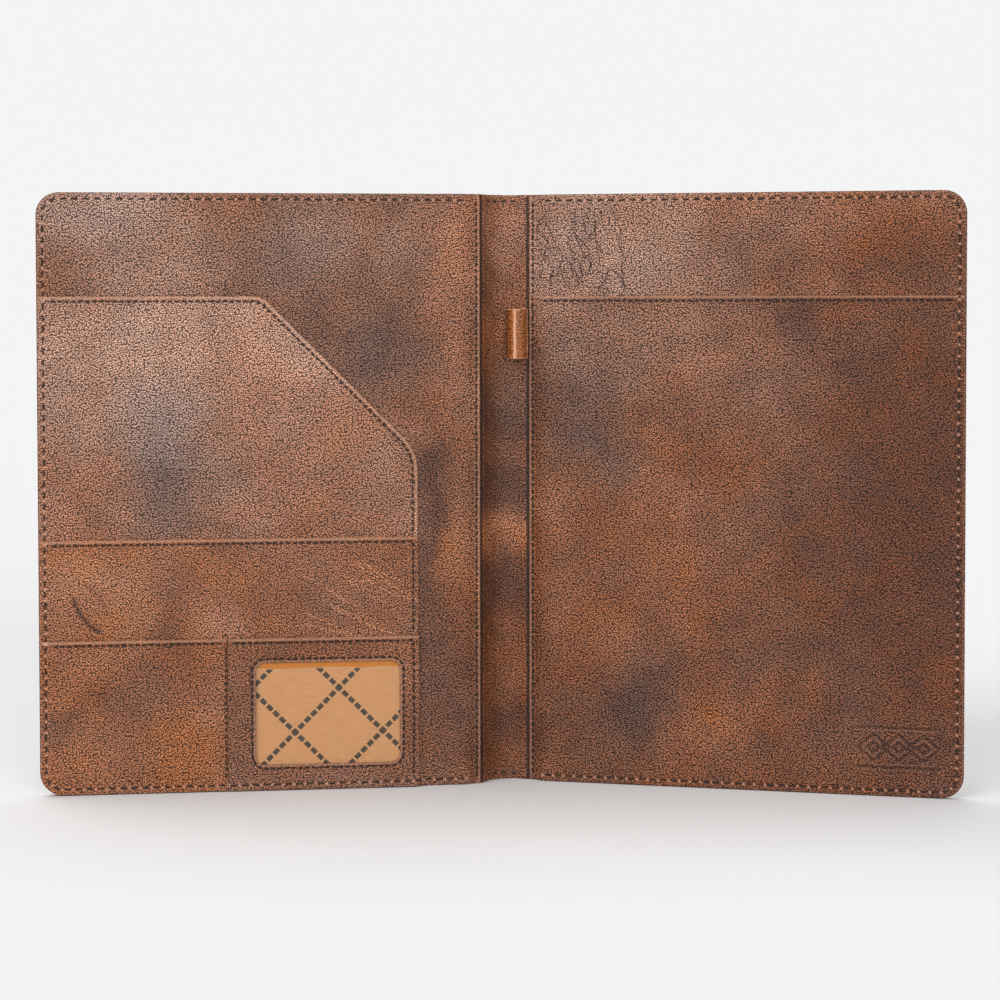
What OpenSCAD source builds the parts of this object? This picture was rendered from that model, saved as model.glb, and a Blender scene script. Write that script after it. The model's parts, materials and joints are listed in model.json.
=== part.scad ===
// Leather notebook cover (padfolio), standing partly open on its bottom edges.
// Millimetres, +Z up, +X to the reader's right, +Y away from the reader.
// Origin: middle of the bounding box, at the height of the bottom edges.
//
// Each cover is drawn in its own frame: x runs from the hinge axis to the outer edge,
// y runs from the outer leather towards the reader, and z is up.

/* [Covers] */
// Width of one cover, from its hinge axis to its outer edge
cover_w = 236; // [225:1:260]
// Height of the covers
cover_h = 318; // [310:1:340]
// Radius of the outer corners
corner_r = 12; // [8:1:20]
// How far the front cover's outer edge leans towards the reader, in degrees
front_angle = 8.5; // [0:0.5:15]
// How far the back cover's outer edge leans towards the reader, in degrees
back_angle = 15.5; // [5:0.5:25]

/* [Spine] */
// Straight distance between the two hinge axes
spine_w = 28.5; // [28:0.5:40]
// Turn of the line between the hinge axes out of the X axis, in degrees
spine_angle = 27; // [20:1:30]
// How far the slack strip bows back from the line between the hinge axes
spine_sag = 9; // [8.5:0.5:10]

/* [Leather and board] */
// Thickness of the outer leather
skin_t = 1.2; // [1:0.1:1.4]
// Thickness of the linings and pocket panels
panel_t = 1; // [0.8:0.1:1.2]
// Thickness of the stiffener boards
board_t = 2; // [1.5:0.1:2.5]
// Width of the turned edge of the outer leather around a board
rim_w = 6; // [5:0.5:8]
// Width of the raised hem along a pocket's mouth
hem_w = 2.2; // [1.8:0.1:2.4]
// Extra thickness of the raised hem
hem_t = 0.4; // [0.2:0.1:0.6]

/* [Pockets] */
// Height of the mouths of the document pocket and the pad pocket
mouth_z = 263.5; // [240:0.5:275]
// Distance of the pocket stack from the hinge axis
stack_x = 35; // [30:1:45]
// Height at which the document pocket's slanting edge starts
slant_z = 180.5; // [165:0.5:190]
// Radius of the rounded corner at the low end of the slanting edge
low_corner_r = 25; // [10:1:30]
// Radius of the rounded corner at the high end of the slanting edge
high_corner_r = 12; // [6:1:20]
// Height of the middle pocket's mouth
middle_z = 135; // [125:0.5:150]
// Height of the two lower pockets' mouths
card_z = 82; // [78:0.5:90]
// Distance of the seam between the two lower pockets from the hinge axis
divider_x = 137; // [132:0.5:150]

/* [Window] */
// Width of the window opening
window_w = 77; // [60:0.5:78]
// Height of the window opening
window_h = 54.5; // [40:0.5:56]
// Corner radius of the window opening
window_r = 5; // [3:0.5:8]
// Distance of the opening from the pocket stack's edge
window_gap_x = 10.3; // [9:0.1:12]
// Height of the opening's lower edge
window_z = 14; // [12:0.5:16]

/* [Pen loop] */
// Outer radius of the pen loop
loop_r = 5.2; // [5:0.1:5.3]
// Wall thickness of the pen loop
loop_t = 0.9; // [0.7:0.1:1.1]
// Length of the pen loop
loop_len = 27; // [20:1:40]
// Height of the pen loop's lower end
loop_z = 229.5; // [150:0.5:240]
// Distance of the pen loop's middle from the back hinge axis, along the spine
loop_x = 7.4; // [7.2:0.1:8]

/* [Stitching] */
// Pitch of the stitches around the edge
edge_pitch = 5.8; // [5:0.1:7]
// Pitch of the stitches along hems and seams
hem_pitch = 3.6; // [3:0.1:5]
// Distance of the edge stitches from the edge
edge_inset = 3.4; // [3:0.1:4]
// Distance of the seam rows beside the spine from the hinge axis
seam_x = 2.8; // [2.4:0.1:4]
// Distance of the hem stitches from the hem's edge
hem_inset = 2.8; // [2.8:0.1:3.4]

/* [Hidden] */
$fn = 64;
clear = 0.3;        // gap between pieces on different bodies
fit_gap = 0.05;     // gap between curved layers of one body
edge_step = 0.5;    // how much smaller the inner layers are cut than the outer leather
board_x = 9;        // where the board starts, measured from the hinge axis
margin_x = 5.5;     // the linings lie flat on the outer leather up to here
ramp_w = 3;         // width of the ramp by which they climb onto the board
ramp_shift = 0.5;   // how much nearer the hinge axis each further layer's ramp lies
skive = 0.5;        // part of a panel's thickness that is left in its skived margin
strip_t = 0.8;      // thickness of the strip's lining
cloth_t = 0.4;      // woven cloth behind the window
film_t = 0.3;       // clear film of the window
film_lap = 3.5;     // how far the film and the cloth reach past the opening
border_w = 5;       // glued border of the card sleeve
thread_w = 0.8;     // width of one stitch
thread_t = 0.35;    // height of one stitch above the leather
stitch_fill = 0.62; // part of the pitch that one stitch covers
row_gap = 2;        // gap between the end of a row and the next row or edge
eps = 0.01;

// Heights of the layers above the middle of the outer leather
skin_top = skin_t / 2;
board_top = skin_top + board_t;
lining_top = board_top + panel_t;
pocket_top = lining_top + panel_t;
middle_top = pocket_top + panel_t;
card_top = middle_top + panel_t;
film_top = middle_top + cloth_t + film_t;
sleeve_top = film_top + panel_t;
margin_t = panel_t * skive;
margin_top = skin_top + margin_t;
hinge_gap = skin_top + clear;
window_x = stack_x + window_gap_x;
tan_half = tan(22.5);
slant_x = stack_x + mouth_z - slant_z;
thread_len = edge_pitch * stitch_fill;

// The bowed strip is an arc between the two hinge axes
bow_r = (pow(spine_w / 2, 2) + pow(spine_sag, 2)) / (2 * spine_sag);
bow_half = asin(spine_w / 2 / bow_r);
bow_y = bow_r - spine_sag;
bow_lining_r = bow_r - skin_top - fit_gap;
bow_face_r = bow_lining_r - strip_t;
bow_trim = 10;      // degrees by which the strip's lining stops short of each hinge axis
bow_stitch_trim = 4; // degrees by which its stitches stop short of its lining's edge

// Hinge axes before the model is centred, and the box that the centring uses
back_hinge = spine_w * [cos(spine_angle), sin(spine_angle)];
box_left = -cover_w * cos(front_angle) - skin_top * sin(front_angle);
box_right = back_hinge.x + cover_w * cos(back_angle) + skin_top * sin(back_angle);
box_near = back_hinge.y - (cover_w - edge_step) * sin(back_angle)
    - (pocket_top + hem_t) * cos(back_angle);
bow_centre_y = spine_w / 2 * sin(spine_angle) - bow_y * cos(spine_angle);
box_far = bow_centre_y + bow_r + skin_top;
centre = [-(box_left + box_right) / 2, -(box_near + box_far) / 2];

// ---- Frames -------------------------------------------------------------------------

module in_front_cover() {
    translate([centre.x, centre.y, 0]) rotate([0, 0, 180 + front_angle]) children();
}

module in_back_cover() {
    translate([centre.x + back_hinge.x, centre.y + back_hinge.y, 0])
        rotate([0, 0, -back_angle]) mirror([0, 1, 0]) children();
}

// x runs from the back hinge axis to the front one, y towards the reader
module in_spine() {
    translate([centre.x + back_hinge.x, centre.y + back_hinge.y, 0])
        rotate([0, 0, 180 + spine_angle]) children();
}

// Stands an outline up and gives it the thickness between two layer heights
module layer(from, to) {
    translate([0, to, 0]) rotate([90, 0, 0]) linear_extrude(to - from) children();
}

// ---- Outlines -----------------------------------------------------------------------

// A cover's outline with rounded outer corners, cut smaller by inset on its free sides
module cover_outline(inset = 0, from_x = hinge_gap) {
    r = corner_r - inset;
    far = cover_w - corner_r;
    translate([from_x, inset]) square([far - from_x, cover_h - 2 * inset]);
    translate([far, corner_r]) square([r, cover_h - 2 * corner_r]);
    for (z = [corner_r, cover_h - corner_r]) translate([far, z]) circle(r);
}

module panel_outline(from_x, to_z, inset = 0) {
    intersection() {
        cover_outline(edge_step, from_x + inset);
        square([cover_w, to_z - inset]);
    }
}

// The document pocket's outline: a panel with one slanting corner, rounded at both ends
module document_outline(inset = 0) {
    low = [stack_x + inset, slant_z - inset * tan_half];
    high = [slant_x + inset * tan_half, mouth_z - inset];
    low_r = low_corner_r - inset;
    high_r = high_corner_r - inset;
    low_run = low_r * tan_half;
    high_run = high_r * tan_half;
    along = [sqrt(0.5), sqrt(0.5)];
    intersection() {
        cover_outline(edge_step, stack_x);
        union() {
            polygon([
                [low.x, 0], [low.x, low.y - low_run], low + low_run * along,
                high - high_run * along, [high.x + high_run, high.y],
                [cover_w, high.y], [cover_w, 0]
            ]);
            translate([low.x + low_r, low.y - low_run]) circle(low_r);
            translate([high.x + high_run, high.y - high_r]) circle(high_r);
        }
    }
}

module window_outline(grow = 0) {
    r = window_r + grow;
    low = [window_x - grow, window_z - grow];
    size = [window_w + 2 * grow, window_h + 2 * grow];
    translate(low + [r, 0]) square([size.x - 2 * r, size.y]);
    translate(low + [0, r]) square([size.x, size.y - 2 * r]);
    for (x = [r, size.x - r], z = [r, size.y - r]) translate(low + [x, z]) circle(r);
}

// ---- Stitches -----------------------------------------------------------------------

// One stitch: [x, z, turn in the panel's plane, height of the leather under it]
module stitch(s, len) {
    translate([s[0], s[3], s[1]]) rotate([0, -s[2], 0])
        translate([-len / 2, 0, -thread_w / 2]) cube([len, thread_t, thread_w]);
}

function line_stitches(a, b, pitch, height) =
    let(run = norm(b - a), count = round(run / pitch), turn = atan2(b.y - a.y, b.x - a.x))
    [for (i = [0:count - 1]) let(p = a + (b - a) * (i + 0.5) / count) [p.x, p.y, turn, height]];

function arc_stitches(c, r, start, end, pitch, height) =
    let(count = max(1, round(r * abs(end - start) * PI / 180 / pitch)))
    [for (i = [0:count - 1]) let(t = start + (end - start) * (i + 0.5) / count)
        [c.x + r * cos(t), c.y + r * sin(t), t + 90, height]];

// A row around the three free sides of a cover
function edge_row() =
    let(r = corner_r - edge_inset, far = cover_w - corner_r, high = cover_h - corner_r,
        low_z = edge_inset, high_z = cover_h - edge_inset, far_x = cover_w - edge_inset)
    concat(
        line_stitches([board_x, low_z], [far, low_z], edge_pitch, lining_top),
        arc_stitches([far, corner_r], r, -90, 0, edge_pitch, lining_top),
        line_stitches([far_x, corner_r], [far_x, high], edge_pitch, lining_top),
        arc_stitches([far, high], r, 0, 90, edge_pitch, lining_top),
        line_stitches([far, high_z], [board_x, high_z], edge_pitch, lining_top)
    );

// Height of the top of a pocket panel under a stitch, or 0 where the panel doesn't reach
function level(x, z, from_x, to_x, mouth, top) =
    x < from_x - thread_len || x > to_x || z > mouth + thread_len / 2 ? 0
    : z > mouth - hem_w - thread_len / 2 ? top + hem_t : top;

module front_edge_row() {
    for (s = edge_row()) {
        heights = [
            lining_top,
            level(s[0], s[1], stack_x, cover_w, mouth_z, pocket_top),
            level(s[0], s[1], stack_x, cover_w, middle_z, middle_top),
            level(s[0], s[1], divider_x, cover_w, card_z, card_top),
            level(s[0], s[1], stack_x, divider_x + thread_len, card_z, sleeve_top)
        ];
        stitch([s[0], s[1], s[2], max(heights)], thread_len);
    }
}

module back_edge_row() {
    for (s = edge_row())
        stitch([s[0], s[1], s[2],
            max(lining_top, level(s[0], s[1], 0, cover_w, mouth_z, pocket_top))], thread_len);
}

module fine_row(stitches) {
    for (s = stitches) stitch(s, hem_pitch * stitch_fill);
}

// ---- Pieces that both covers have ---------------------------------------------------

// Outer leather with its turned edge, which closes around the board on three sides
module cover_skin() {
    layer(-skin_top, skin_top) cover_outline();
    layer(skin_top - eps, board_top) difference() {
        cover_outline(0, board_x);
        translate([0, rim_w]) square([cover_w - rim_w, cover_h - 2 * rim_w]);
    }
}

module cover_board() {
    inner = rim_w + clear;
    translate([board_x, skin_top, inner])
        cube([cover_w - board_x - inner, board_t, cover_h - 2 * inner]);
}

// A panel that steps down onto the outer leather beside the hinge: its section, raised
// to the given height and cut to the cover's outline. Panels under it count in below.
module stepped_panel(low, high, to_z, below = 0) {
    back = margin_x - below * ramp_shift;
    face = back - ramp_shift;
    intersection() {
        linear_extrude(to_z) polygon([
            [hinge_gap, low], [back, low], [back + ramp_w, high], [cover_w, high],
            [cover_w, high + panel_t], [face + ramp_w, high + panel_t],
            [face, low + margin_t], [hinge_gap, low + margin_t]
        ]);
        layer(-skin_t, sleeve_top) cover_outline(edge_step);
    }
}

module hem(from_x, mouth, top) {
    layer(top - eps, top + hem_t) difference() {
        panel_outline(from_x, mouth);
        square([cover_w, mouth - hem_w]);
    }
}

// ---- Spine --------------------------------------------------------------------------

// Part of a ring around the bow's centre; degrees are counted from the middle of the bow
module bow(inner, outer, from, to, height) {
    translate([spine_w / 2, bow_y, 0]) rotate([0, 0, from - 90])
        rotate_extrude(angle = to - from) translate([inner, 0]) square([outer - inner, height]);
}

module spine_leather() {
    color("saddlebrown") in_spine()
        bow(bow_r - skin_top, bow_r + skin_top, -bow_half, bow_half, cover_h);
}

module spine_lining() {
    trim = bow_half - bow_trim;
    color("sienna") in_spine() translate([0, 0, edge_step])
        bow(bow_face_r, bow_lining_r, -trim, trim, cover_h - 2 * edge_step);
}

module spine_stitches() {
    half = bow_half - bow_trim - bow_stitch_trim;
    count = round(2 * half * PI / 180 * bow_face_r / edge_pitch);
    step = 2 * half / count;
    half_thread = thread_len / 2 / bow_face_r * 180 / PI;
    color("maroon") in_spine()
        for (i = [0:count - 1], z = [edge_inset, cover_h - edge_inset]) {
            t = -half + (i + 0.5) * step;
            translate([0, 0, z - thread_w / 2])
                bow(bow_face_r - fit_gap - thread_t, bow_face_r - fit_gap,
                    t - half_thread, t + half_thread, thread_w);
        }
}

// A tube for the pen, with a short tail that is sewn into the seam beside the back cover
module pen_loop() {
    run = bow_face_r - 3 * fit_gap;
    reach = run - loop_r;
    dx = loop_x - spine_w / 2;
    loop_y = bow_y - sqrt(pow(reach, 2) - pow(dx, 2));
    touch = asin(dx / reach);
    color("chocolate") in_spine() translate([0, 0, loop_z]) difference() {
        union() {
            translate([loop_x, loop_y, 0]) cylinder(h = loop_len, r = loop_r);
            bow(run - loop_t, run, -bow_half + bow_trim, touch, loop_len);
        }
        translate([loop_x, loop_y, -1]) cylinder(h = loop_len + 2, r = loop_r - loop_t);
    }
}

// ---- Front cover --------------------------------------------------------------------

module front_leather() {
    color("saddlebrown") in_front_cover() cover_skin();
}

module front_board() {
    color("tan") in_front_cover() cover_board();
}

module front_lining() {
    color("sienna") in_front_cover() stepped_panel(skin_top, board_top, cover_h);
}

module document_pocket() {
    color("peru") in_front_cover() {
        layer(lining_top, pocket_top) document_outline();
        layer(pocket_top - eps, pocket_top + hem_t) difference() {
            document_outline();
            document_outline(hem_w);
            square([cover_w, middle_z + clear]);
        }
    }
}

module middle_pocket() {
    color("sienna") in_front_cover() {
        layer(pocket_top, middle_top) panel_outline(stack_x, middle_z);
        hem(stack_x, middle_z, middle_top);
    }
}

module card_pocket() {
    color("saddlebrown") in_front_cover() {
        layer(middle_top, card_top) panel_outline(divider_x + clear, card_z);
        hem(divider_x + clear, card_z, card_top);
    }
}

// The card sleeve: a leather front with the window opening, glued down on three sides
module id_pocket() {
    color("saddlebrown") in_front_cover() {
        layer(film_top, sleeve_top) difference() {
            translate([stack_x, edge_step]) square([divider_x - stack_x, card_z - edge_step]);
            window_outline();
        }
        layer(middle_top, film_top + eps) difference() {
            translate([stack_x, edge_step]) square([divider_x - stack_x, card_z - edge_step]);
            translate([stack_x + border_w, edge_step + border_w])
                square([divider_x - stack_x - 2 * border_w, card_z]);
        }
        layer(sleeve_top - eps, sleeve_top + hem_t)
            translate([stack_x, card_z - hem_w]) square([divider_x - stack_x, hem_w]);
    }
}

module id_window() {
    color("gold", 0.4) in_front_cover()
        layer(middle_top + cloth_t, film_top) window_outline(film_lap);
}

module id_cloth() {
    color("burlywood") in_front_cover()
        layer(middle_top, middle_top + cloth_t) window_outline(film_lap);
}

module front_edge_stitches() {
    color("maroon") in_front_cover() front_edge_row();
}

module seam_row(top) {
    fine_row(line_stitches([seam_x, edge_inset], [seam_x, cover_h - edge_inset],
        hem_pitch, top));
}

module front_seam_stitches() {
    color("maroon") in_front_cover() seam_row(margin_top);
}

module document_stitches() {
    low = [stack_x + hem_inset, slant_z - hem_inset * tan_half];
    high = [slant_x + hem_inset * tan_half, mouth_z - hem_inset];
    low_r = low_corner_r - hem_inset;
    high_r = high_corner_r - hem_inset;
    low_run = low_r * tan_half;
    high_run = high_r * tan_half;
    along = [sqrt(0.5), sqrt(0.5)];
    low_c = [low.x + low_r, low.y - low_run];
    high_c = [high.x + high_run, high.y - high_r];
    color("maroon") in_front_cover() {
        fine_row(line_stitches([low.x, middle_z + row_gap], [low.x, low.y - low_run],
            hem_pitch, pocket_top));
        fine_row(arc_stitches(low_c, low_r, 180, 135, hem_pitch, pocket_top));
        fine_row(line_stitches(low + low_run * along, high - high_run * along,
            hem_pitch, pocket_top));
        fine_row(arc_stitches(high_c, high_r, 135, 90, hem_pitch, pocket_top));
        fine_row(line_stitches([high.x + high_run, high.y], [cover_w - 2 * edge_inset, high.y],
            hem_pitch, pocket_top));
    }
}

// A hem's row, and the row down the pocket stack's edge as far as the next mouth
module pocket_rows(mouth, next_mouth, to_x, top) {
    z = mouth - hem_inset;
    fine_row(line_stitches([stack_x + hem_inset, z], [to_x, z], hem_pitch, top));
    fine_row(line_stitches([stack_x + hem_inset, next_mouth + row_gap],
        [stack_x + hem_inset, z], hem_pitch, top));
}

module middle_stitches() {
    color("maroon") in_front_cover()
        pocket_rows(middle_z, card_z, cover_w - 2 * edge_inset, middle_top);
}

module card_stitches() {
    z = card_z - hem_inset;
    color("maroon") in_front_cover() {
        pocket_rows(card_z, 2 * edge_inset, divider_x - hem_inset, sleeve_top);
        fine_row(line_stitches([divider_x + hem_inset, z], [cover_w - 2 * edge_inset, z],
            hem_pitch, card_top));
    }
}

module window_stitches() {
    r = window_r + row_gap;
    low = [window_x + window_r, window_z + window_r];
    high = [window_x + window_w - window_r, window_z + window_h - window_r];
    color("maroon") in_front_cover() {
        for (z = [low.y - r, high.y + r])
            fine_row(line_stitches([low.x, z], [high.x, z], hem_pitch, sleeve_top));
        for (x = [low.x - r, high.x + r])
            fine_row(line_stitches([x, low.y], [x, high.y], hem_pitch, sleeve_top));
        for (i = [0:3])
            fine_row(arc_stitches([i == 0 || i == 3 ? high.x : low.x, i < 2 ? high.y : low.y],
                r, 90 * i, 90 * (i + 1), hem_pitch, sleeve_top));
    }
}

module divider_stitches() {
    x = divider_x + thread_w + clear;
    color("maroon") in_front_cover() {
        fine_row(line_stitches([x, 2 * edge_inset], [x, card_z - hem_inset - row_gap],
            hem_pitch, card_top));
        stitch([divider_x + 2 * thread_w, card_z + row_gap, 0, middle_top], thread_len);
    }
}

// ---- Back cover ---------------------------------------------------------------------

module back_leather() {
    color("saddlebrown") in_back_cover() cover_skin();
}

module back_board() {
    color("tan") in_back_cover() cover_board();
}

module back_lining() {
    color("peru") in_back_cover() stepped_panel(skin_top, board_top, cover_h);
}

module pad_pocket() {
    color("sienna") in_back_cover() {
        stepped_panel(margin_top, lining_top, mouth_z, 1);
        hem(board_x, mouth_z, pocket_top);
    }
}

module back_edge_stitches() {
    color("maroon") in_back_cover() back_edge_row();
}

module back_seam_stitches() {
    color("maroon") in_back_cover() seam_row(margin_top + margin_t);
}

module pad_stitches() {
    z = mouth_z - hem_inset;
    color("maroon") in_back_cover()
        fine_row(line_stitches([board_x, z], [cover_w - 2 * edge_inset, z],
            hem_pitch, pocket_top));
}

spine_leather();
spine_lining();
spine_stitches();
pen_loop();
front_leather();
front_board();
front_lining();
document_pocket();
middle_pocket();
card_pocket();
id_pocket();
id_window();
id_cloth();
front_edge_stitches();
front_seam_stitches();
document_stitches();
middle_stitches();
card_stitches();
window_stitches();
divider_stitches();
back_leather();
back_board();
back_lining();
pad_pocket();
back_edge_stitches();
back_seam_stitches();
pad_stitches();
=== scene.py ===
import json
import math
from dataclasses import dataclass

import bmesh
import bpy
import numpy as np
from mathutils import Euler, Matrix, Vector, kdtree, noise
from mathutils.geometry import delaunay_2d_cdt


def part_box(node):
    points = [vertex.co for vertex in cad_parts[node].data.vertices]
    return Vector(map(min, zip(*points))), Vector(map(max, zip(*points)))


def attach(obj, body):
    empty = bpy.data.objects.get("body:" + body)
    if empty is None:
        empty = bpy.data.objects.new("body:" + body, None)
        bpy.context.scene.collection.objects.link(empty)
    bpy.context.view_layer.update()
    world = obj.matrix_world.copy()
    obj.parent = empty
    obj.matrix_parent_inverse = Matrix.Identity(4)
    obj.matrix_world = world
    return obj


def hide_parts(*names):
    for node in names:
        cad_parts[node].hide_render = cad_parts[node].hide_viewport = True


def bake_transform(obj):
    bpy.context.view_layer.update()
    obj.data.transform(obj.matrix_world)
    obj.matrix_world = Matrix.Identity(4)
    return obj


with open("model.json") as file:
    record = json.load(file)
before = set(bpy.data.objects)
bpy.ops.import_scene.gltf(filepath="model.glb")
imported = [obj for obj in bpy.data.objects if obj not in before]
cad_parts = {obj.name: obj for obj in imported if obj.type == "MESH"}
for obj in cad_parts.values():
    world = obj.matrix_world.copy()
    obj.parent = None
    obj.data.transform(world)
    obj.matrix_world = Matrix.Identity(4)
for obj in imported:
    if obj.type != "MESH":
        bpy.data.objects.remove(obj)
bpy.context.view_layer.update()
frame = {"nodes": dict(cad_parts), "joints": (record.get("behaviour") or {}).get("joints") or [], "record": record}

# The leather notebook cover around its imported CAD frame. Pieces are measured in
# millimetres and made in metres.
MM = 0.001


# ---- Frame ----

class Cover:
    """A cover's own frame: x from its hinge axis to its free edge, n from the middle of the
    outer leather towards the reader, z up. side is -1 for the front cover, 1 for the back."""

    def __init__(self, body, side):
        joint = next(j for j in frame["joints"] if j["name"] == body + "_hinge")
        mount = next(m for m in frame["record"]["mounts"] if m["name"] == body + "_face")
        self.body = body
        self.side = side
        self.axis = np.array(joint["pos_m"][:2]) / MM
        self.toward = -np.array(mount["axis"][:2])
        self.outward = side * np.array((-self.toward[1], self.toward[0]))

    def plan(self, x, n):
        return self.axis + np.outer(x, self.outward) + np.outer(n, self.toward)

    def place(self, x, n, z):
        return np.column_stack((self.plan(x, n), z))

    def extent(self, node):
        """Lowest and highest (x, n, z) of a CAD node in this cover's frame."""
        points = node_points(node)
        away = points[:, :2] - self.axis
        own = np.column_stack((away @ self.outward, away @ self.toward, points[:, 2]))
        return own.min(0), own.max(0)


def node_points(node):
    return np.array([v.co for v in frame["nodes"][node].data.vertices]) / MM


FRONT = Cover("front_cover", -1)
BACK = Cover("back_cover", 1)

# Sizes that the CAD nodes give, in the front cover's frame
skin_low, skin_high = FRONT.extent("front_leather")
lining_low, lining_high = FRONT.extent("front_lining")
document_low, document_high = FRONT.extent("document_pocket")
middle_low, middle_high = FRONT.extent("middle_pocket")
card_low, card_high = FRONT.extent("card_pocket")
id_low, id_high = FRONT.extent("id_pocket")
cloth_low, cloth_high = FRONT.extent("id_cloth")
film_low, film_high = FRONT.extent("id_window")
board_low, board_high = FRONT.extent("front_board")

width = skin_high[0]
height = skin_high[2]
skin_half = -skin_low[1]
board_top = skin_high[1]
lining_top = lining_high[1]
panel_t = lining_top - board_top
hem_t = document_high[1] - document_low[1] - panel_t
hinge_x = lining_low[0]
edge_step = lining_low[2]
stack_x = document_low[0]
mouth_z = document_high[2]
middle_z = middle_high[2]
card_z = card_high[2]
divider_x = id_high[0]

# Sizes that the boxes of the nodes don't give
corner_r = 12
slant_z = 180.5
low_corner_r = 25
high_corner_r = 12
rim_w = 6
film_lap = 3.5
window_r = 5
hem_w = 2.2
hem_inset = 2.8
edge_inset = 3.4
seam_x = 2.8
edge_pitch = 5.8
hem_pitch = 3.6
window_gap = 2
margin_t = panel_t / 2
# Shift of the pattern from one piece to the next, times the piece's seed, in metres
seed_shift = 0.41


class Spine:
    """The outer leather's middle line in plan, from cover to cover, at distances s from the
    middle of the slack strip; s grows towards the back cover."""

    SOFTEN = 2.0
    STEP = 0.25
    body = "spine"

    def __init__(self):
        span = BACK.axis - FRONT.axis
        half = np.linalg.norm(span) / 2
        along = span / (2 * half)
        away = np.array((-along[1], along[0]))
        sag = ((node_points("spine_leather")[:, :2] - FRONT.axis) @ away).max() - skin_half
        self.radius = (half ** 2 + sag ** 2) / (2 * sag)
        self.centre = (FRONT.axis + BACK.axis) / 2 + away * (sag - self.radius)
        self.middle = math.atan2(away[1], away[0])
        self.spread = math.asin(half / self.radius)
        self.arc = self.radius * self.spread
        reach = self.arc + 40
        self.s = np.arange(-reach, reach, self.STEP)
        raw = np.where((np.abs(self.s) < self.arc)[:, None], self.bow(self.s), np.where(
            (self.s < 0)[:, None], FRONT.plan(-self.s - self.arc, 0 * self.s),
            BACK.plan(self.s - self.arc, 0 * self.s)))
        reach_k = int(4 * self.SOFTEN / self.STEP)
        kernel = np.exp(-0.5 * (np.arange(-reach_k, reach_k + 1) * self.STEP / self.SOFTEN) ** 2)
        kernel /= kernel.sum()
        self.line = np.column_stack([np.convolve(raw[:, i], kernel, "same") for i in (0, 1)])
        heading = np.gradient(self.line, axis=0)
        heading /= np.linalg.norm(heading, axis=1)[:, None]
        self.toward = np.column_stack((heading[:, 1], -heading[:, 0]))

    def bow(self, s):
        angle = self.middle - s / self.radius
        return self.centre + self.radius * np.column_stack((np.cos(angle), np.sin(angle)))

    def place(self, s, n, z):
        line = [np.interp(s, self.s, self.line[:, i]) for i in (0, 1)]
        toward = [np.interp(s, self.s, self.toward[:, i]) for i in (0, 1)]
        return np.column_stack((line[0] + n * toward[0], line[1] + n * toward[1], z))


SPINE = Spine()
bend_x = 20    # the outer leather follows the spine's line up to here, and the cover beyond


def place_skin(cover):
    """Places points of the outer leather, whose x is negative past the hinge axis."""
    def place(x, n, z):
        near = SPINE.place(cover.side * (SPINE.arc + np.minimum(x, bend_x)), n, z)
        return np.where((x < bend_x)[:, None], near, cover.place(x, n, z))
    return place


# ---- Outlines and meshes ----

def rounded(corners, closed=True):
    """A path through corners (x, z, radius), with an arc of short chords at each radius."""
    turn = math.radians(6)
    points = []
    for i, (x, z, r) in enumerate(corners):
        here = np.array((x, z), float)
        if r == 0:
            points.append(here)
            continue
        to_last = np.array(corners[i - 1][:2]) - here
        to_next = np.array(corners[(i + 1) % len(corners)][:2]) - here
        to_last /= np.linalg.norm(to_last)
        to_next /= np.linalg.norm(to_next)
        half = math.acos(np.clip(to_last @ to_next, -1, 1)) / 2
        inward = (to_last + to_next) / np.linalg.norm(to_last + to_next)
        centre = here + inward * r / math.sin(half)
        first = here + to_last * r / math.tan(half) - centre
        last = here + to_next * r / math.tan(half) - centre
        start = math.atan2(first[1], first[0])
        sweep = (math.atan2(last[1], last[0]) - start + math.pi) % (2 * math.pi) - math.pi
        count = max(2, math.ceil(abs(sweep) / turn))
        for k in range(count + 1):
            angle = start + sweep * k / count
            points.append(centre + r * np.array((math.cos(angle), math.sin(angle))))
    if closed:
        points.append(points[0])
    return np.array(points)


def box(x0, z0, x1, z1, r=0):
    return rounded([(x0, z0, r), (x1, z0, r), (x1, z1, r), (x0, z1, r)])


def walk(path, step):
    """Points about step apart along a path, its own points among them, and directions."""
    points, headings = [], []
    for a, b in zip(path, path[1:]):
        run = np.linalg.norm(b - a)
        count = max(1, round(run / step))
        points.append(a + np.outer(np.arange(count) / count, b - a))
        headings.append(np.repeat([(b - a) / run], count, axis=0))
    return np.concatenate(points), np.concatenate(headings)


def distance(points, path):
    best = np.full(len(points), np.inf)
    for a, b in zip(path, path[1:]):
        run = b - a
        t = np.clip((points - a) @ run / (run @ run), 0, 1)
        best = np.minimum(best, np.linalg.norm(points - a - np.outer(t, run), axis=1))
    return best


def inside(points, path):
    within = np.zeros(len(points), bool)
    for a, b in zip(path, path[1:]):
        if a[1] == b[1]:
            continue
        crosses = (a[1] > points[:, 1]) != (b[1] > points[:, 1])
        at = a[0] + (points[:, 1] - a[1]) * (b[0] - a[0]) / (b[1] - a[1])
        within ^= crosses & (points[:, 0] < at)
    return within


def beside(path, offsets, step):
    """Rows of points at offsets on both sides of a path."""
    points, headings = walk(path, step)
    normals = np.column_stack((-headings[:, 1], headings[:, 0]))
    return np.concatenate([points + side * offset * normals
                           for offset in offsets for side in (-1, 1)])


def thinned(points, gap):
    """Keeps one point of each square of the given size."""
    _, first = np.unique(np.round(points / gap).astype(int), axis=0, return_index=True)
    return points[np.sort(first)]


def lattice(low, high, step):
    """Staggered rows of points over a box."""
    rows = []
    for i, z in enumerate(np.arange(low[1] + step / 2, high[1], step * 0.866)):
        x = np.arange(low[0] + step / 2 * (i % 2), high[0], step)
        rows.append(np.column_stack((x, np.full(len(x), z))))
    return np.concatenate(rows)


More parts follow.
